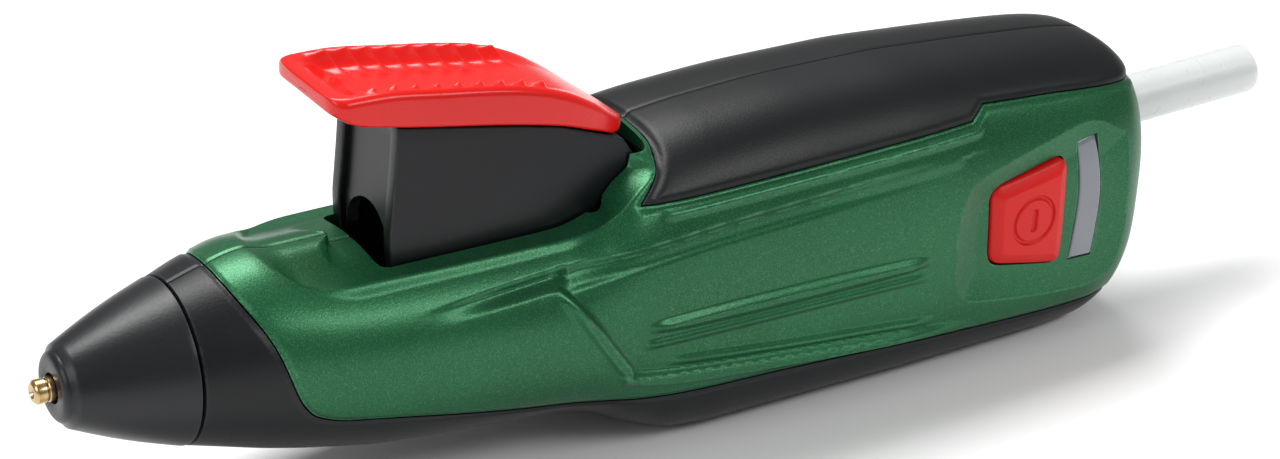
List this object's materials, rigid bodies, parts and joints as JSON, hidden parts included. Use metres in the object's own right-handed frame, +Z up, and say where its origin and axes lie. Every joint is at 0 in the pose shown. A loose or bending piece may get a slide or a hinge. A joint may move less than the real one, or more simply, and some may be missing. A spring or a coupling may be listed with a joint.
{
  "type": "glue gun",
  "caption": "Pen-type cordless glue gun with a red feed lever, brass nozzle, side power button, light window and soft grip.",
  "frame": {"origin": "middle of the bounding box over the plane of the flat foot that the tool rests on", "axes": "+X towards the rear, where the glue stick goes in; -X is the nozzle end; +Z up; the power button is on the -Y side"},
  "size_m": [0.1872, 0.0344, 0.0544],
  "materials": {
    "green_shell": "satin green moulded plastic with a fine metallic fleck",
    "black_shell": "fine-textured charcoal moulded plastic",
    "soft_grip": "matt soft-touch overmoulding",
    "red_trim": "semi-gloss red moulded plastic",
    "black_mechanism": "smooth black moulded plastic",
    "brass": "turned brass",
    "aluminium": "machined",
    "steel": "plated steel",
    "ceramic": "pale ceramic",
    "heat_plastic": "heat-resistant moulding",
    "silicone": "red-brown silicone",
    "glue": "milky translucent hot-melt glue",
    "circuit_board": "green solder mask",
    "grey_window": "smoked grey translucent light window",
    "lamp": "clear diffused lens",
    "cell_wrap": "blue heat-shrink wrap",
    "foam": "grey foam",
    "wire_red": "insulated wire",
    "wire_black": "insulated wire"
  },
  "bodies": {
    "body": {"housing_left": "green_shell", "housing_right": "green_shell", "underbody_left": "black_shell", "underbody_right": "black_shell", "nose_cone": "black_shell", "grip_left": "soft_grip", "grip_right": "soft_grip", "stick_guide": "black_mechanism", "entry_bush": "black_mechanism", "tact_switch": "black_mechanism", "nozzle": "brass", "melt_chamber": "aluminium", "heater_clip": "steel", "return_spring": "steel", "lever_pivot_pin": "steel", "battery_tab_positive": "steel", "battery_tab_negative": "steel", "charging_socket": "steel", "housing_screw_1": "steel", "housing_screw_2": "steel", "housing_screw_3": "steel", "housing_screw_4": "steel", "housing_screw_5": "steel", "board_screw_1": "steel", "board_screw_2": "steel", "heater_upper": "ceramic", "heater_lower": "ceramic", "chamber_collar": "heat_plastic", "inlet_guide": "heat_plastic", "inlet_seal": "silicone", "circuit_board": "circuit_board", "light_window": "grey_window", "led_1": "lamp", "led_2": "lamp", "led_3": "lamp", "battery_cell": "cell_wrap", "battery_pad": "foam", "heater_wire_upper": "wire_red", "heater_wire_lower": "wire_red", "battery_wire_positive": "wire_red", "battery_wire_negative": "wire_black"},
    "lever": {"lever_body": "black_mechanism", "lever_cap": "red_trim"},
    "carriage": {"carriage": "black_mechanism", "carriage_pin_left": "steel", "carriage_pin_right": "steel", "feed_pawl": "steel"},
    "stick": {"glue_stick": "glue"},
    "button": {"power_button": "red_trim"},
    "plunger": {"switch_plunger": "ceramic"}
  },
  "joints": [
    {"name": "lever_pivot", "type": "hinge", "parent": "body", "child": "lever", "pos_m": [-0.01707, 0, 0.03541], "axis": [0, -1, 0], "range_deg": [0, 18], "stiffness_Nm_per_rad": 0.6, "springref_deg": -6.88},
    {"name": "carriage_slide", "type": "slide", "parent": "body", "child": "carriage", "axis": [-0.9993, 0, -0.0366], "range_m": [0, 0.006], "deforming": ["return_spring"]},
    {"name": "stick_feed", "type": "slide", "parent": "body", "child": "stick", "axis": [-0.9993, 0, -0.0366], "range_m": [0, 0.006]},
    {"name": "power_button_press", "type": "slide", "parent": "body", "child": "button", "axis": [0, 1, 0], "range_m": [0, 0.0006], "stiffness_N_per_m": 1200, "springref_m": -0.0004},
    {"name": "plunger_travel", "type": "slide", "parent": "body", "child": "plunger", "axis": [0, 1, 0], "range_m": [0, 0.0003]}
  ],
  "couplings": [
    {"joint": "carriage_slide", "follows": "lever_pivot", "m_per_rad": 0.019098},
    {"joint": "stick_feed", "follows": "lever_pivot", "m_per_rad": 0.019098},
    {"joint": "plunger_travel", "follows": "power_button_press", "ratio": 0.5}
  ]
}
